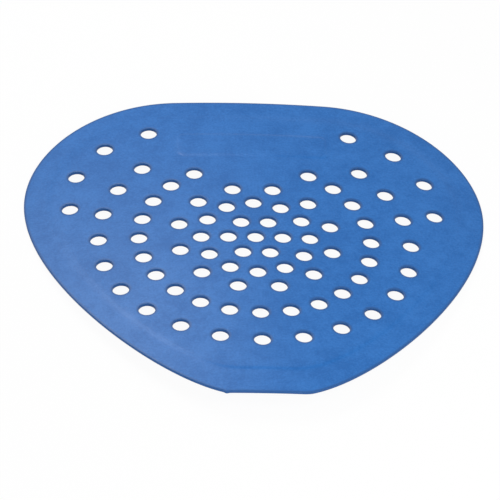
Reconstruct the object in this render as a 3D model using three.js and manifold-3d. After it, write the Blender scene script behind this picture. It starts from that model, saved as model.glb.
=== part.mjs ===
// Urinal deodorizer screen: one soft vinyl sheet with drain holes, arched from side to side.
// Millimetres, +Z up. X runs across the sheet and Y from its short front edge to its long back edge.
// The origin is on the surface that the sheet lies on, under the middle of its outline.
import * as THREE from "three";
import { mergeGeometries, mergeVertices } from "three/addons/utils/BufferGeometryUtils.js";
import Module from "manifold-3d";

const wasm = await Module();
wasm.setup();

// Sheet, measured laid flat
const sheetWidth = 191;
const sheetDepth = 185;
const sheetThickness = 1.3;
const lobeRadius = 64; // rounding of the two back corners
const frontEdgeWidth = 33; // between the front corners before they are rounded
const frontCornerAngle = 22; // between the side and the front edge at a front corner, degrees
const frontCornerRadius = 12;
const sideLead = 46; // pull of the side curve where it leaves the lobe
const chinLead = 32; // pull of the side curve where it reaches the front corner

// Arch: the top face's radius about an axis that runs front to back
const archRadius = 588;
const archStrips = 15; // flat strips across the sheet, odd, so that one lies on the crown

// Thinner border all round, and the corner radius of its inner line
const borderWidth = 10.5; // along the sides
const borderFrontWidth = 13.9; // at the middle of the front edge
const borderBlend = 1.4; // how sharply the border widens where it turns to face the front
const borderStep = 0.25;
const borderCornerRadius = 20;

// Raised blank label pad behind the holes
const padWidth = 62;
const padDepth = 14;
const padHeight = 0.2;
const padCornerRadius = 2.5;
const padSetback = 36.3; // from the back edge to the pad's front edge

// Drain holes: rings round one centre hole, and a row that follows each back lobe
const holeDiameter = 6.75;
const patternSetback = 95.2; // from the front edge to the centre hole
const patternShift = -1; // the pattern sits a little left of the outline's middle
const rings = [
  { radius: 11.1, count: 6, turn: 0, bare: 0 },
  { radius: 22.2, count: 12, turn: 0, bare: 0 },
  { radius: 32, count: 12, turn: 15, bare: 0 },
  { radius: 47.5, count: 24, turn: 0, bare: 20 },
  { radius: 64, count: 24, turn: 0, bare: 35 },
]; // no holes within `bare` degrees of straight back
const lobeHoleInset = 19.8; // from the lobe's edge to the row of holes along it
const lobeHoleCount = 4;
const lobeHoleFirst = -6; // degrees behind the sheet's widest line
const lobeHolePitch = 27.4; // degrees about the lobe's centre

// Straight steps along each curve
const lobeSteps = 20;
const sideSteps = 20;
const cornerSteps = 6;
const holeSides = 20;
const cutMargin = 4; // how far cutting bodies reach past what they cut

const lobeCentreX = sheetWidth / 2 - lobeRadius;
const lobeCentreY = sheetDepth / 2 - lobeRadius;
const frontEdge = -sheetDepth / 2;
const patternY = frontEdge + patternSetback;

// The rims at the widest line touch the ground, which sets the height of the arch's axis.
const undersideRadius = archRadius - sheetThickness;
const archAngle = (flat) => flat / archRadius;
const axisHeight = -undersideRadius * Math.cos(archAngle(sheetWidth / 2));
const archRise = archRadius * (1 - Math.cos(archAngle(sheetWidth / 2)));

// Right half of the outline from the middle of the back edge to the middle of the front edge
function halfOutline(cornerRadius) {
  const angle = THREE.MathUtils.degToRad(frontCornerAngle);
  const tangent = cornerRadius * Math.tan(angle / 2);
  const vertex = new THREE.Vector2(frontEdgeWidth / 2, frontEdge);
  const alongSide = new THREE.Vector2(Math.cos(angle), Math.sin(angle));
  const sideStart = new THREE.Vector2(sheetWidth / 2, lobeCentreY);
  const sidePull = new THREE.Vector2(sheetWidth / 2, lobeCentreY - sideLead);
  const sideEnd = vertex.clone().addScaledVector(alongSide, tangent);
  const chinPull = sideEnd.clone().addScaledVector(alongSide, chinLead);
  const lobe = new THREE.EllipseCurve(lobeCentreX, lobeCentreY, lobeRadius, lobeRadius, Math.PI / 2, 0, true);
  const side = new THREE.CubicBezierCurve(sideStart, sidePull, chinPull, sideEnd);
  const cornerX = vertex.x - tangent;
  const cornerY = frontEdge + cornerRadius;
  const turn = angle - Math.PI / 2;
  const corner = new THREE.EllipseCurve(cornerX, cornerY, cornerRadius, cornerRadius, turn, -Math.PI / 2, true);
  return [
    ...lobe.getPoints(lobeSteps),
    ...side.getPoints(sideSteps).slice(1),
    ...corner.getPoints(cornerSteps).slice(1),
  ];
}

// The whole outline, clockwise, each point moved inwards by the side inset, or by more where it faces
// the front, up to the front inset
function outline(sideInset, frontInset, cornerRadius) {
  const right = halfOutline(cornerRadius);
  const left = right.slice().reverse().map((point) => new THREE.Vector2(-point.x, point.y));
  const points = right.concat(left);
  return points.map((point, index) => {
    const next = points[(index + 1) % points.length].clone().sub(point).normalize();
    const last = point.clone().sub(points[(index + points.length - 1) % points.length]).normalize();
    const along = next.add(last).normalize();
    const facing = Math.max(0, -along.x) ** borderBlend;
    const inset = THREE.MathUtils.lerp(sideInset, frontInset, facing);
    return new THREE.Vector2(point.x + along.y * inset, point.y - along.x * inset);
  });
}

// Closed three.js geometry to a solid
function solid(geometry) {
  const plain = geometry.index ? geometry.toNonIndexed() : geometry.clone();
  plain.deleteAttribute("normal");
  plain.deleteAttribute("uv");
  const welded = mergeVertices(plain, 1e-5);
  const mesh = new wasm.Mesh({
    numProp: 3,
    vertProperties: new Float32Array(welded.attributes.position.array),
    triVerts: new Uint32Array(welded.index.array),
  });
  return new wasm.Manifold(mesh);
}

// The sheet bends without stretching. Laid flat its top face is at z = 0; X becomes an angle about
// the arch's axis and Z a step away from the top face's radius.
function bend(geometry) {
  const position = geometry.attributes.position;
  for (let index = 0; index < position.count; index += 1) {
    const angle = archAngle(position.getX(index));
    const radius = archRadius + position.getZ(index);
    const x = radius * Math.sin(angle);
    const z = radius * Math.cos(angle) + axisHeight;
    position.setXYZ(index, x, position.getY(index), z);
  }
  return geometry;
}

// Everything over and under a contour drawn on the flat sheet, with walls square to the arch
function throughContour(contour) {
  const reach = archRise + cutMargin;
  const geometry = new THREE.ExtrudeGeometry(new THREE.Shape(contour), { depth: 2 * reach, bevelEnabled: false });
  return solid(bend(geometry.translate(0, 0, -reach)));
}

// Arched slab between the underside and a face that lies `rise` above the sheet's top face
function archedSlab(rise) {
  const width = (sheetWidth * (archStrips + 2)) / archStrips;
  const height = sheetThickness + rise;
  const geometry = new THREE.BoxGeometry(width, sheetDepth + 2 * cutMargin, height, archStrips + 2, 1, 1);
  return solid(bend(geometry.translate(0, 0, rise - height / 2)));
}

// Label pad's contour, a rectangle with rounded corners
function padContour() {
  const front = sheetDepth / 2 - padSetback;
  const back = front + padDepth;
  const side = padWidth / 2;
  const r = padCornerRadius;
  const path = new THREE.Path();
  path.absarc(side - r, back - r, r, Math.PI / 2, 0, true);
  path.absarc(side - r, front + r, r, 0, -Math.PI / 2, true);
  path.absarc(r - side, front + r, r, -Math.PI / 2, -Math.PI, true);
  path.absarc(r - side, back - r, r, Math.PI, Math.PI / 2, true);
  return path.getPoints(cornerSteps / 2);
}

// Centres of the drain holes on the flat sheet
function holeCentres() {
  const centres = [new THREE.Vector2(0, patternY)];
  for (const ring of rings) {
    for (let index = 0; index < ring.count; index += 1) {
      const degrees = ring.turn + (index * 360) / ring.count;
      if (Math.abs(degrees - 90) < ring.bare) continue;
      const angle = THREE.MathUtils.degToRad(degrees);
      centres.push(new THREE.Vector2(ring.radius * Math.cos(angle), patternY + ring.radius * Math.sin(angle)));
    }
  }
  for (let index = 0; index < lobeHoleCount; index += 1) {
    const angle = THREE.MathUtils.degToRad(lobeHoleFirst + index * lobeHolePitch);
    const reach = lobeRadius - lobeHoleInset;
    const x = lobeCentreX + reach * Math.cos(angle);
    const y = lobeCentreY + reach * Math.sin(angle);
    centres.push(new THREE.Vector2(x, y), new THREE.Vector2(-x, y));
  }
  return centres.map((centre) => new THREE.Vector2(centre.x + patternShift, centre.y));
}

// One cutter a hole, square to the arched sheet where it stands
function holeCutter(centre) {
  const length = 2 * (sheetThickness + cutMargin);
  const cutter = new THREE.CylinderGeometry(holeDiameter / 2, holeDiameter / 2, length, holeSides);
  cutter.rotateX(Math.PI / 2).translate(0, 0, archRadius);
  return cutter.rotateY(archAngle(centre.x)).translate(0, centre.y, axisHeight);
}

function screenGeometry() {
  const border = archedSlab(-borderStep).intersect(throughContour(outline(0, 0, frontCornerRadius)));
  const innerLine = outline(borderWidth, borderFrontWidth, borderFrontWidth + borderCornerRadius);
  const field = archedSlab(0).intersect(throughContour(innerLine));
  const pad = archedSlab(padHeight).intersect(throughContour(padContour()));
  const holes = solid(mergeGeometries(holeCentres().map(holeCutter)));
  const mesh = border.add(field).add(pad).subtract(holes).getMesh();
  const geometry = new THREE.BufferGeometry();
  geometry.setAttribute("position", new THREE.BufferAttribute(mesh.vertProperties, 3));
  geometry.setIndex(new THREE.BufferAttribute(mesh.triVerts, 1));
  geometry.computeVertexNormals();
  return geometry;
}

const vinyl = new THREE.MeshStandardMaterial({ color: 0x3a70ba, roughness: 0.48, metalness: 0 });

const screen = new THREE.Mesh(screenGeometry(), vinyl);
screen.name = "screen";

const group = new THREE.Group();
group.name = "urinal_screen";
group.add(screen);

export default group;
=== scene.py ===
import math

import bpy
import numpy as np
from mathutils import Matrix, Vector
from mathutils.geometry import delaunay_2d_cdt


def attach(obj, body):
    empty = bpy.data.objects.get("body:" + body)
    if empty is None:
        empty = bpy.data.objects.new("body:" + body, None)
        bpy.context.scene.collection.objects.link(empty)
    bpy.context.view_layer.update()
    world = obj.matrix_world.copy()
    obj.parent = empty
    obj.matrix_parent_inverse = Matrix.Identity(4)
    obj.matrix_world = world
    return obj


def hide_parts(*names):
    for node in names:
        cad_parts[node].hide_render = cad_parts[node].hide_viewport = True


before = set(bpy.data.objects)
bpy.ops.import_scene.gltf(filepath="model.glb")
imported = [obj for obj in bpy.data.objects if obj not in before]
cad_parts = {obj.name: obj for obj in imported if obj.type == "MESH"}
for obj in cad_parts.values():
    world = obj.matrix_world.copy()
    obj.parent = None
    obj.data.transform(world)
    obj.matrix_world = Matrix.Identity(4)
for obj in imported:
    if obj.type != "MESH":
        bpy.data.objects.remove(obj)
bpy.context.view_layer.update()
mm = 0.001  # in metres
print("frame loaded")


# The sheet

sheet = {
    "width": 191.0,  # laid flat, mm
    "depth": 185.0,
    "thickness": 1.3,
    "lobeRadius": 64.0,  # the two back corners
    "frontEdge": 33.0,  # between the front corners before they are rounded
    "frontAngle": math.radians(22),  # side against front edge at a front corner
    "frontRadius": 12.0,
    "sideLead": 46.0,  # pull of the side curve at the lobe
    "chinLead": 32.0,  # and at the front corner
    "archRadius": 588.0,  # top face, about an axis that runs front to back
    "rimRound": 0.35,  # rounding of every edge on the top face
    "rimUnder": 0.2,  # and on the underside
    "rimPoints": 5,  # along each rounding
    "shadeWidth": 1.3,  # over which the painted shade along the rims fades
    "sideLength": 130.0,  # of the side curve, roughly, to space its points
    "spacing": 1.4,  # between points along the outline
    "cornerSpacing": 0.25,  # share of that at the front corners
    "fill": 2.0,  # between points of the open face
    "sliver": 0.02,  # faces nearer the top edge than this are left out
}

border = {
    "width": 10.5,  # from the outline to the step, along the sides
    "frontWidth": 13.9,  # and at the middle of the front edge
    "blend": 1.4,  # how sharply it widens where it turns to face the front
    "cornerRadius": 20.0,  # the step's own front corners
    "step": 0.25,  # down towards the rim
    "stepWidth": 2.0,  # how wide the step is at the front
    "backWidth": 6.0,  # and at the back, where it fades out
    "fadeFrom": -30.0,  # y where it starts to fade
    "fadeTo": 50.0,
    "spacing": 0.7,  # between points along the step
    "rows": 5,  # of points across it
}

pad = {
    "width": 62.0,
    "depth": 14.0,
    "height": 0.2,
    "cornerRadius": 2.5,
    "setback": 36.3,  # from the back edge to the pad's front
    "edge": 1.0,  # width of its soft edge
    "spacing": 0.5,  # between points on that edge
    "edgeReach": 0.7,  # how far they go to either side of the pad's line, in edge widths
}

holes = {
    "diameter": 6.75,
    "setback": 95.2,  # from the front edge to the centre hole
    "shift": -1.0,
    "rings": [  # radius, count, first angle, half of the bare arc behind, degrees
        (11.1, 6, 0, 0),
        (22.2, 12, 0, 0),
        (32.0, 12, 15, 0),
        (47.5, 24, 0, 20),
        (64.0, 24, 0, 35),
    ],
    "lobeInset": 19.8,  # row of holes along each lobe
    "lobeCount": 4,
    "lobeFirst": -6.0,
    "lobePitch": 27.4,
    "sides": 36,
    "bore": 0.995,  # faces within this share of a hole's top radius are left out
    "straightBack": 90,  # degrees
}

gate = {"x": -16.3, "reach": 0.5, "width": 0.9}  # stub where the mould was filled

frontY, backY = -sheet["depth"] / 2, sheet["depth"] / 2
lobeCentre = np.array([sheet["width"] / 2 - sheet["lobeRadius"], backY - sheet["lobeRadius"]])


def smooth(t):  # 3t^2 - 2t^3 between 0 and 1, flat outside
    t = np.clip(t, 0, 1)
    return t * t * (3 - 2 * t)


def bend(flat, height):  # x becomes an angle about the arch's axis, height a step off the top face's radius
    angle = flat[:, 0] / sheet["archRadius"]
    radius = sheet["archRadius"] + height
    halfWidth = sheet["width"] / 2 / sheet["archRadius"]
    axis = -(sheet["archRadius"] - sheet["thickness"]) * math.cos(halfWidth)
    return np.column_stack([radius * np.sin(angle), flat[:, 1], radius * np.cos(angle) + axis]) * mm


def alongCurve(curve, length, spacing):  # points and directions at even steps of a curve's own parameter
    steps = max(2, math.ceil(length / spacing))
    point, direction = curve(np.linspace(0, 1, steps + 1)[:-1, None])
    return point, direction / np.linalg.norm(direction, axis=1, keepdims=True)


def straight(start, end):  # start + t (end - start)
    span = np.asarray(end) - start
    return lambda t: (start + t * span, np.ones_like(t) * span)


def around(angle):  # (cos a, sin a)
    return np.column_stack([np.cos(angle), np.sin(angle)])


def arc(centre, radius, fromAngle, toAngle):  # centre + radius (cos a, sin a), a even between the angles
    def curve(t):
        angle = fromAngle + t * (toAngle - fromAngle)
        turned = np.column_stack([-np.sin(angle), np.cos(angle)]) * np.sign(toAngle - fromAngle)
        return centre + radius * around(angle), turned
    return curve


def bezier(a, b, c, d):  # cubic Bezier curve and its derivative
    def curve(t):
        s = 1 - t
        point = s**3 * a + 3 * s**2 * t * b + 3 * s * t**2 * c + t**3 * d
        return point, 3 * (s**2 * (b - a) + 2 * s * t * (c - b) + t**2 * (d - c))
    return curve


def outline(cornerRadius, spacing):  # clockwise from the back edge's middle: points, and the way inwards
    angle = sheet["frontAngle"]
    tangent = cornerRadius * math.tan(angle / 2)
    vertex = np.array([sheet["frontEdge"] / 2, frontY])
    alongSide = np.array([math.cos(angle), math.sin(angle)])
    sideStart = np.array([sheet["width"] / 2, lobeCentre[1]])
    sideEnd = vertex + tangent * alongSide
    cornerCentre = np.array([vertex[0] - tangent, frontY + cornerRadius])
    cornerSpacing = spacing * sheet["cornerSpacing"]
    sidePull = sideStart - [0, sheet["sideLead"]]
    chinPull = sideEnd + sheet["chinLead"] * alongSide
    quarter = math.pi / 2
    pieces = [  # curve, length, spacing
        (straight(np.array([0, backY]), [lobeCentre[0], backY]), lobeCentre[0], spacing),
        (arc(lobeCentre, sheet["lobeRadius"], quarter, 0), sheet["lobeRadius"] * quarter, spacing),
        (bezier(sideStart, sidePull, chinPull, sideEnd), sheet["sideLength"], spacing),
        (arc(cornerCentre, cornerRadius, angle - quarter, -quarter), cornerRadius * angle, cornerSpacing),
        (straight(np.array([cornerCentre[0], frontY]), [0, frontY]), cornerCentre[0], spacing),
    ]
    parts = [alongCurve(*piece) for piece in pieces]
    point = np.vstack([part[0] for part in parts] + [[[0, frontY]]])
    way = np.vstack([part[1] for part in parts] + [[[-1, 0]]])
    inward = np.column_stack([way[:, 1], -way[:, 0]])
    mirrored = [-1, 1]
    return np.vstack([point, point[-2:0:-1] * mirrored]), np.vstack([inward, inward[-2:0:-1] * mirrored])


def holeCentres():  # radius (cos a, sin a) about the centre hole, and the same about each lobe's centre
    centre = np.array([0, frontY + holes["setback"]])
    rows = [centre[None]]
    for radius, count, first, bare in holes["rings"]:
        degrees = first + np.arange(count) * 360 / count
        angle = np.radians(degrees[np.abs(degrees - holes["straightBack"]) >= bare])
        rows.append(centre + radius * around(angle))
    angle = np.radians(holes["lobeFirst"] + np.arange(holes["lobeCount"]) * holes["lobePitch"])
    row = lobeCentre + (sheet["lobeRadius"] - holes["lobeInset"]) * around(angle)
    return np.vstack(rows + [row, row * [-1, 1]]) + [holes["shift"], 0]


def inset(points, line, inward):  # distance inside a closed line, by the way inwards at its nearest point
    gap = ((points[:, None] - line[None]) ** 2).sum(axis=2)
    nearest = gap.argmin(axis=1)
    return ((points - line[nearest]) * inward[nearest]).sum(axis=1)


def padDistance(points):  # signed distance to a rectangle with rounded corners
    half = np.array([pad["width"], pad["depth"]]) / 2
    middle = np.array([0, backY - pad["setback"] + half[1]])
    past = np.abs(points - middle) - half + pad["cornerRadius"]
    outside = np.linalg.norm(np.maximum(past, 0), axis=1)
    return outside + np.minimum(past.max(axis=1), 0) - pad["cornerRadius"]


stepLine, stepInward = outline(border["frontWidth"] + border["cornerRadius"], border["spacing"])
facing = np.maximum(0, stepInward[:, 1:]) ** border["blend"]
stepLine = stepLine + (border["width"] + (border["frontWidth"] - border["width"]) * facing) * stepInward


def topHeight(points):  # soft steps of the border and the pad off the top face, mm
    past = -inset(points, stepLine, stepInward)
    faded = smooth((points[:, 1] - border["fadeFrom"]) / (border["fadeTo"] - border["fadeFrom"]))
    width = border["stepWidth"] + (border["backWidth"] - border["stepWidth"]) * faded
    step = border["step"] * smooth(past / width + 0.5)
    raised = pad["height"] * smooth(0.5 - padDistance(points) / pad["edge"])
    return raised - step


def rings(centres, radius, sides):  # centre + radius (cos a, sin a), one ring of points a centre
    way = around(np.arange(sides) * 2 * math.pi / sides)
    return (centres[:, None] + radius * way[None]).reshape(-1, 2)


def toNearest(points, centres):  # distance to the nearest centre
    return np.sqrt(((points[:, None] - centres[None]) ** 2).sum(axis=2)).min(axis=1)


def hexGrid(spacing):  # rows of points over the whole sheet, every other row half a step along
    rowGap = spacing * math.sqrt(3) / 2
    columns = np.arange(-sheet["width"] / 2, sheet["width"] / 2, spacing)
    rows = np.arange(frontY, backY, rowGap)
    x, y = np.meshgrid(columns, rows)
    shift = spacing / 2 * (np.arange(len(rows)) % 2)
    return np.column_stack([(x + shift[:, None]).ravel(), y.ravel()])


# Quarter round, wall, smaller quarter round. Above, the way in is r (1 - sin a) and the drop r (1 - cos a).
# Below, they are r (1 - cos a) and r sin a - r, and the last column is 1.
def edgeProfile():
    turn = np.linspace(0, math.pi / 2, sheet["rimPoints"])
    over, under = sheet["rimRound"], sheet["rimUnder"]
    top = np.column_stack([over * (1 - np.sin(turn)), over * (1 - np.cos(turn)), 0 * turn])
    bottom = np.column_stack([under * (1 - np.cos(turn)), under * np.sin(turn) - under, 0 * turn + 1])
    return np.vstack([top, bottom])[1:]


def buildSheet():
    spacing, fill = sheet["spacing"], sheet["fill"]
    edge, inward = outline(sheet["frontRadius"], spacing)
    fromGate = np.linalg.norm(edge - [gate["x"], frontY], axis=1)
    edge = edge - inward * (gate["reach"] * np.exp(-((fromGate / gate["width"]) ** 2)))[:, None]
    centres = holeCentres()
    radius = holes["diameter"] / 2
    sides = holes["sides"]
    holeWay = rings(np.zeros((1, 2)), 1, sides)

    # Plan points: edges first, because the walls start on them
    rim = sheet["rimRound"]
    shade = sheet["shadeWidth"]
    edgeTop = edge + rim * inward
    holeTop = rings(centres, radius + rim, sides)
    stepOffsets = np.linspace(-0.5, 0.5, border["rows"]) * border["stepWidth"]
    coarseLine, coarseInward = stepLine[::2], stepInward[::2]  # every other point
    stepPoints = np.vstack([coarseLine + offset * coarseInward for offset in stepOffsets])
    grid = hexGrid(fill)
    clear = toNearest(grid, centres) > radius + shade + fill / 2
    clear &= inset(grid, edge, inward) > shade + fill / 2
    clear &= np.abs(inset(grid, stepLine, stepInward)) > border["stepWidth"] / 2 + fill / 3
    clear &= np.abs(padDistance(grid)) > pad["edge"]
    padSteps = hexGrid(pad["spacing"])
    padSteps = padSteps[np.abs(padDistance(padSteps)) < pad["edge"] * pad["edgeReach"]]
    plan = np.vstack([
        edgeTop, holeTop, edge + shade * inward, rings(centres, radius + shade, sides),
        stepPoints, padSteps, grid[clear],
    ])
    weld = 1e-6  # mm within which two points count as one
    face = np.array(delaunay_2d_cdt(plan.tolist(), [], [], 0, weld)[2])  # its third result is the faces
    middle = plan[face].mean(axis=1)
    inSheet = toNearest(middle, centres) > (radius + rim) * holes["bore"]
    inSheet &= inset(middle, edgeTop, inward) > sheet["sliver"]
    face = face[inSheet]
    across = plan[face[:, 1]] - plan[face[:, 0]]
    down = plan[face[:, 2]] - plan[face[:, 0]]
    wrongWay = across[:, 0] * down[:, 1] < across[:, 1] * down[:, 0]
    face[wrongWay] = face[wrongWay][:, ::-1]

    # Walls: the edge profile carried along the outline and round every hole
    height = topHeight(plan)
    count = len(plan)
    points = [bend(plan, height), bend(plan, 0 * height - sheet["thickness"])]
    # painted shade along every rim: 1 on the rim rings and the walls, fading to 0 at shadeWidth on both
    # faces
    paintedRimShade = np.zeros(2 * count)
    wallStart = len(edgeTop) + len(holeTop)
    paintedRimShade[:wallStart] = 1
    paintedRimShade[count:count + wallStart] = 1
    walls = []
    used = 2 * count
    loops = [(edge, inward, np.arange(len(edge)))]
    for number, centre in enumerate(centres):
        loops.append((centre + radius * holeWay, holeWay, len(edge) + number * sides + np.arange(sides)))
    profile = edgeProfile()
    for line, way, first in loops:
        top = height[first]
        levels = [first]
        for inner, drop, low in profile:
            flat = line + inner * way
            level = np.where(low, -sheet["thickness"] - drop, top - drop)
            points.append(bend(flat, level))
            levels.append(used + np.arange(len(line)))
            used += len(line)
        levels.append(first + count)
        levels = np.array(levels)
        turned = np.roll(levels, -1, axis=1)
        quads = np.stack([levels[:-1], turned[:-1], turned[1:], levels[1:]], axis=-1).reshape(-1, 4)
        walls.append(quads)
    paintedRimShade = np.concatenate([paintedRimShade, np.ones(used - 2 * count)])
    faces = face.tolist() + (face[:, ::-1] + count).tolist() + np.vstack(walls).tolist()

    mesh = bpy.data.meshes.new("vinyl_sheet")
    mesh.from_pydata(np.vstack(points).tolist(), [], faces)
    mesh.polygons.foreach_set("use_smooth", np.ones(len(faces), dtype=bool))
    # the rim attribute carries the painted rim shade to the material
    mesh.attributes.new("rim", "FLOAT", "POINT").data.foreach_set("value", paintedRimShade.astype(np.float32))
    piece = bpy.data.objects.new("vinyl_sheet", mesh)
    bpy.context.collection.objects.link(piece)
    return piece


vinylSheet = buildSheet()
print("sheet built:", len(vinylSheet.data.polygons), "faces")


# Materials

def linear(hexColour):  # sRGB hex to linear, with alpha 1
    value = np.array([int(hexColour[i:i + 2], 16) for i in (1, 3, 5)]) / 255
    channels = np.where(value <= 0.04045, value / 12.92, ((value + 0.055) / 1.055) ** 2.4)
    return (*channels.tolist(), 1.0)


def addNode(tree, kind, settings=None, links=None):  # a value that is a socket is linked, any other is set
    made = tree.nodes.new(kind)
    for name, value in (settings or {}).items():
        setattr(made, name, value)
    for name, value in (links or {}).items():
        if isinstance(value, bpy.types.NodeSocket):
            tree.links.new(value, made.inputs[name])
        else:
            made.inputs[name].default_value = value
    return made


def newTree(name):
    made = bpy.data.materials.new(name)
    made.use_nodes = True
    made.node_tree.nodes.clear()
    return made, made.node_tree


vinyl = {
    "colour": "#2B70BB",
    "deepColour": "#1960A9",  # the other end of the clouds and the grain
    # painted shade, darker than the body, laid along every rim and hole wall
    "paintedRimShadeColour": "#245591",
    "roughness": 0.36,
    "roughnessRange": 0.05,
    "specularLevel": 0.2,
    "ior": 1.53,
    "mottle": 14.0,  # size of the faint clouds in the colour, mm
    "mottleDetail": 6.0,
    "mottleRoughness": 0.8,
    "grain": 0.9,  # skin left by the mould, mm. The real one is assumed to be 0.3, too fine to show.
    "grainDetail": 2.0,
    "grainRoughness": 0.5,
    "grainHeight": 0.03,  # mm
    "speckle": 0.5,  # share of the grain in the colour, against the clouds
    "noiseLow": 0.35,  # noise at one end of the colours and the roughness
    "noiseHigh": 0.65,  # and at the other
}


def mouldedVinyl():  # soft PVC from a matt mould: satin, coloured through, faint clouds and a fine skin
    made, tree = newTree("moulded_soft_vinyl")
    where = addNode(tree, "ShaderNodeTexCoord").outputs["Object"]
    clouds = addNode(tree, "ShaderNodeTexNoise", {}, {
        "Vector": where, "Scale": 1 / (vinyl["mottle"] * mm),
        "Detail": vinyl["mottleDetail"], "Roughness": vinyl["mottleRoughness"],
    })
    skin = addNode(tree, "ShaderNodeTexNoise", {}, {
        "Vector": where, "Scale": 1 / (vinyl["grain"] * mm),
        "Detail": vinyl["grainDetail"], "Roughness": vinyl["grainRoughness"],
    })
    speckled = addNode(tree, "ShaderNodeMath", {"operation": "MULTIPLY_ADD"})
    tree.links.new(skin.outputs["Fac"], speckled.inputs[0])
    speckled.inputs[1].default_value = vinyl["speckle"]
    tree.links.new(clouds.outputs["Fac"], speckled.inputs[2])
    grainMean = vinyl["speckle"] / 2  # what the grain adds on average
    spread = addNode(tree, "ShaderNodeMapRange", {}, {
        "Value": speckled.outputs["Value"],
        "From Min": vinyl["noiseLow"] + grainMean, "From Max": vinyl["noiseHigh"] + grainMean,
    })
    body = addNode(tree, "ShaderNodeMix", {"data_type": "RGBA"}, {
        "Factor": spread.outputs["Result"], "A": linear(vinyl["colour"]), "B": linear(vinyl["deepColour"]),
    })
    # painted shade: the body colour darkened towards the rim colour along every rim and wall, by the rim
    # attribute
    rim = addNode(tree, "ShaderNodeAttribute", {"attribute_name": "rim"})
    colour = addNode(tree, "ShaderNodeMix", {"data_type": "RGBA"}, {
        "Factor": rim.outputs["Fac"], "A": body.outputs["Result"], "B": linear(vinyl["paintedRimShadeColour"]),
    })
    rough = addNode(tree, "ShaderNodeMapRange", {}, {
        "Value": clouds.outputs["Fac"],
        "From Min": vinyl["noiseLow"], "From Max": vinyl["noiseHigh"],
        "To Min": vinyl["roughness"] - vinyl["roughnessRange"] / 2,
        "To Max": vinyl["roughness"] + vinyl["roughnessRange"] / 2,
    })
    bump = addNode(tree, "ShaderNodeBump", {}, {
        "Height": skin.outputs["Fac"], "Distance": vinyl["grainHeight"] * mm, "Strength": 1.0,
    })
    shader = addNode(tree, "ShaderNodeBsdfPrincipled", {}, {
        "Base Color": colour.outputs["Result"], "Roughness": rough.outputs["Result"],
        "Normal": bump.outputs["Normal"], "IOR": vinyl["ior"],
        "Specular IOR Level": vinyl["specularLevel"],
    })
    addNode(tree, "ShaderNodeOutputMaterial", {}, {"Surface": shader.outputs["BSDF"]})
    return made


vinylSheet.data.materials.append(mouldedVinyl())
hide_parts("screen")
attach(vinylSheet, "root")
print("vinyl ready")


# Floor, light and camera

studio = {
    "floorSize": 12.0,  # metres
    "floorColour": "#F4F4F4",
    "floorWhite": 0.95,  # share of the floor that the camera sees as plain white
    "worldColour": "#FFFFFF",
    "worldStrength": 0.3,
    "lamps": [  # name, place, size, watts
        ("back_left_softbox", (-0.193, 0.334, 0.460), 0.25, 1.23),
        ("small_back_softbox", (-0.034, 0.190, 0.230), 0.12, 0.094),
        ("right_softbox", (0.240, -0.210, 0.318), 0.25, 0.67),
        ("front_softbox", (-0.107, -0.609, 0.329), 0.40, 1.90),
    ],
}


def seenDirectly(tree):  # 1 for camera, glossy and transmitted rays, else 0
    path = addNode(tree, "ShaderNodeLightPath")
    total = path.outputs["Is Camera Ray"]
    for kind in ("Is Glossy Ray", "Is Transmission Ray"):
        larger = addNode(tree, "ShaderNodeMath", {"operation": "MAXIMUM"})
        tree.links.new(total, larger.inputs[0])
        tree.links.new(path.outputs[kind], larger.inputs[1])
        total = larger.outputs["Value"]
    return total


def paleFloor():  # matt board, plain white where the camera sees it lit, darker in the object's shadow
    made, tree = newTree("matt_white_board")
    board = addNode(tree, "ShaderNodeBsdfDiffuse", {}, {"Color": linear(studio["floorColour"])})
    white = addNode(tree, "ShaderNodeEmission", {}, {"Color": linear("#FFFFFF"), "Strength": 1.0})
    shareOf = addNode(tree, "ShaderNodeMath", {"operation": "MULTIPLY"})
    tree.links.new(seenDirectly(tree), shareOf.inputs[0])
    shareOf.inputs[1].default_value = studio["floorWhite"]
    mix = addNode(tree, "ShaderNodeMixShader", {}, {"Fac": shareOf.outputs["Value"]})
    tree.links.new(board.outputs["BSDF"], mix.inputs[1])
    tree.links.new(white.outputs["Emission"], mix.inputs[2])
    addNode(tree, "ShaderNodeOutputMaterial", {}, {"Surface": mix.outputs["Shader"]})
    return made


def buildFloor():  # a square at z = 0, corners half the size out along x and y
    half = studio["floorSize"] / 2
    corners = np.array([[-1, -1, 0], [1, -1, 0], [1, 1, 0], [-1, 1, 0]]) * half
    mesh = bpy.data.meshes.new("floor")
    mesh.from_pydata(corners.tolist(), [], [(0, 1, 2, 3)])
    mesh.materials.append(paleFloor())
    floor = bpy.data.objects.new("floor", mesh)
    bpy.context.collection.objects.link(floor)


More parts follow.
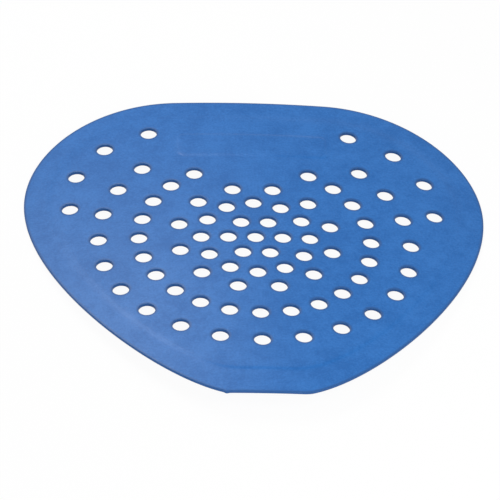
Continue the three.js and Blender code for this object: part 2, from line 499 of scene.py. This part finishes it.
def buildLight():
    world = bpy.data.worlds.new("studio")
    world.use_nodes = True
    tree = world.node_tree
    tree.nodes.clear()
    strength = addNode(tree, "ShaderNodeMapRange", {}, {
        "Value": seenDirectly(tree), "To Min": studio["worldStrength"], "To Max": 1.0,
    })
    sky = addNode(tree, "ShaderNodeBackground", {}, {
        "Color": linear(studio["worldColour"]), "Strength": strength.outputs["Result"],
    })
    addNode(tree, "ShaderNodeOutputWorld", {}, {"Surface": sky.outputs["Background"]})
    bpy.context.scene.world = world
    for name, place, size, watts in studio["lamps"]:
        lamp = bpy.data.lights.new(name, "AREA")
        lamp.shape = "DISK"
        lamp.size = size
        lamp.energy = watts
        made = bpy.data.objects.new(name, lamp)
        made.location = place
        made.rotation_euler = (-Vector(place)).to_track_quat("-Z", "Y").to_euler()
        bpy.context.collection.objects.link(made)


photoView = {
    "place": (-0.1211, -1.2863, 1.0563),
    "down": math.radians(39.17),  # below the horizon
    "aside": math.radians(5.24),  # to the right of straight ahead
    "roll": math.radians(-4.559),
    "lens": 294.85,  # mm
    "sensor": 36.0,  # mm
    "clipEnd": 50.0,  # metres, past the floor's far edge
}


def buildCamera():
    down, aside = photoView["down"], photoView["aside"]
    ahead = Vector((math.cos(down) * math.sin(aside), math.cos(down) * math.cos(aside), -math.sin(down)))
    level = ahead.cross(Vector((0, 0, 1))).normalized()
    upright = level.cross(ahead)
    up = upright * math.cos(photoView["roll"]) + level * math.sin(photoView["roll"])
    right = ahead.cross(up)
    lens = bpy.data.cameras.new("photo_view")
    lens.lens = photoView["lens"]
    lens.sensor_width = photoView["sensor"]
    lens.clip_end = photoView["clipEnd"]
    camera = bpy.data.objects.new("photo_view", lens)
    turn = Matrix((right, up, -ahead)).transposed().to_4x4()
    camera.matrix_world = Matrix.Translation(photoView["place"]) @ turn
    bpy.context.collection.objects.link(camera)
    bpy.context.scene.camera = camera


buildFloor()
buildLight()
buildCamera()
bpy.context.scene.view_settings.view_transform = "Standard"
print("studio ready")
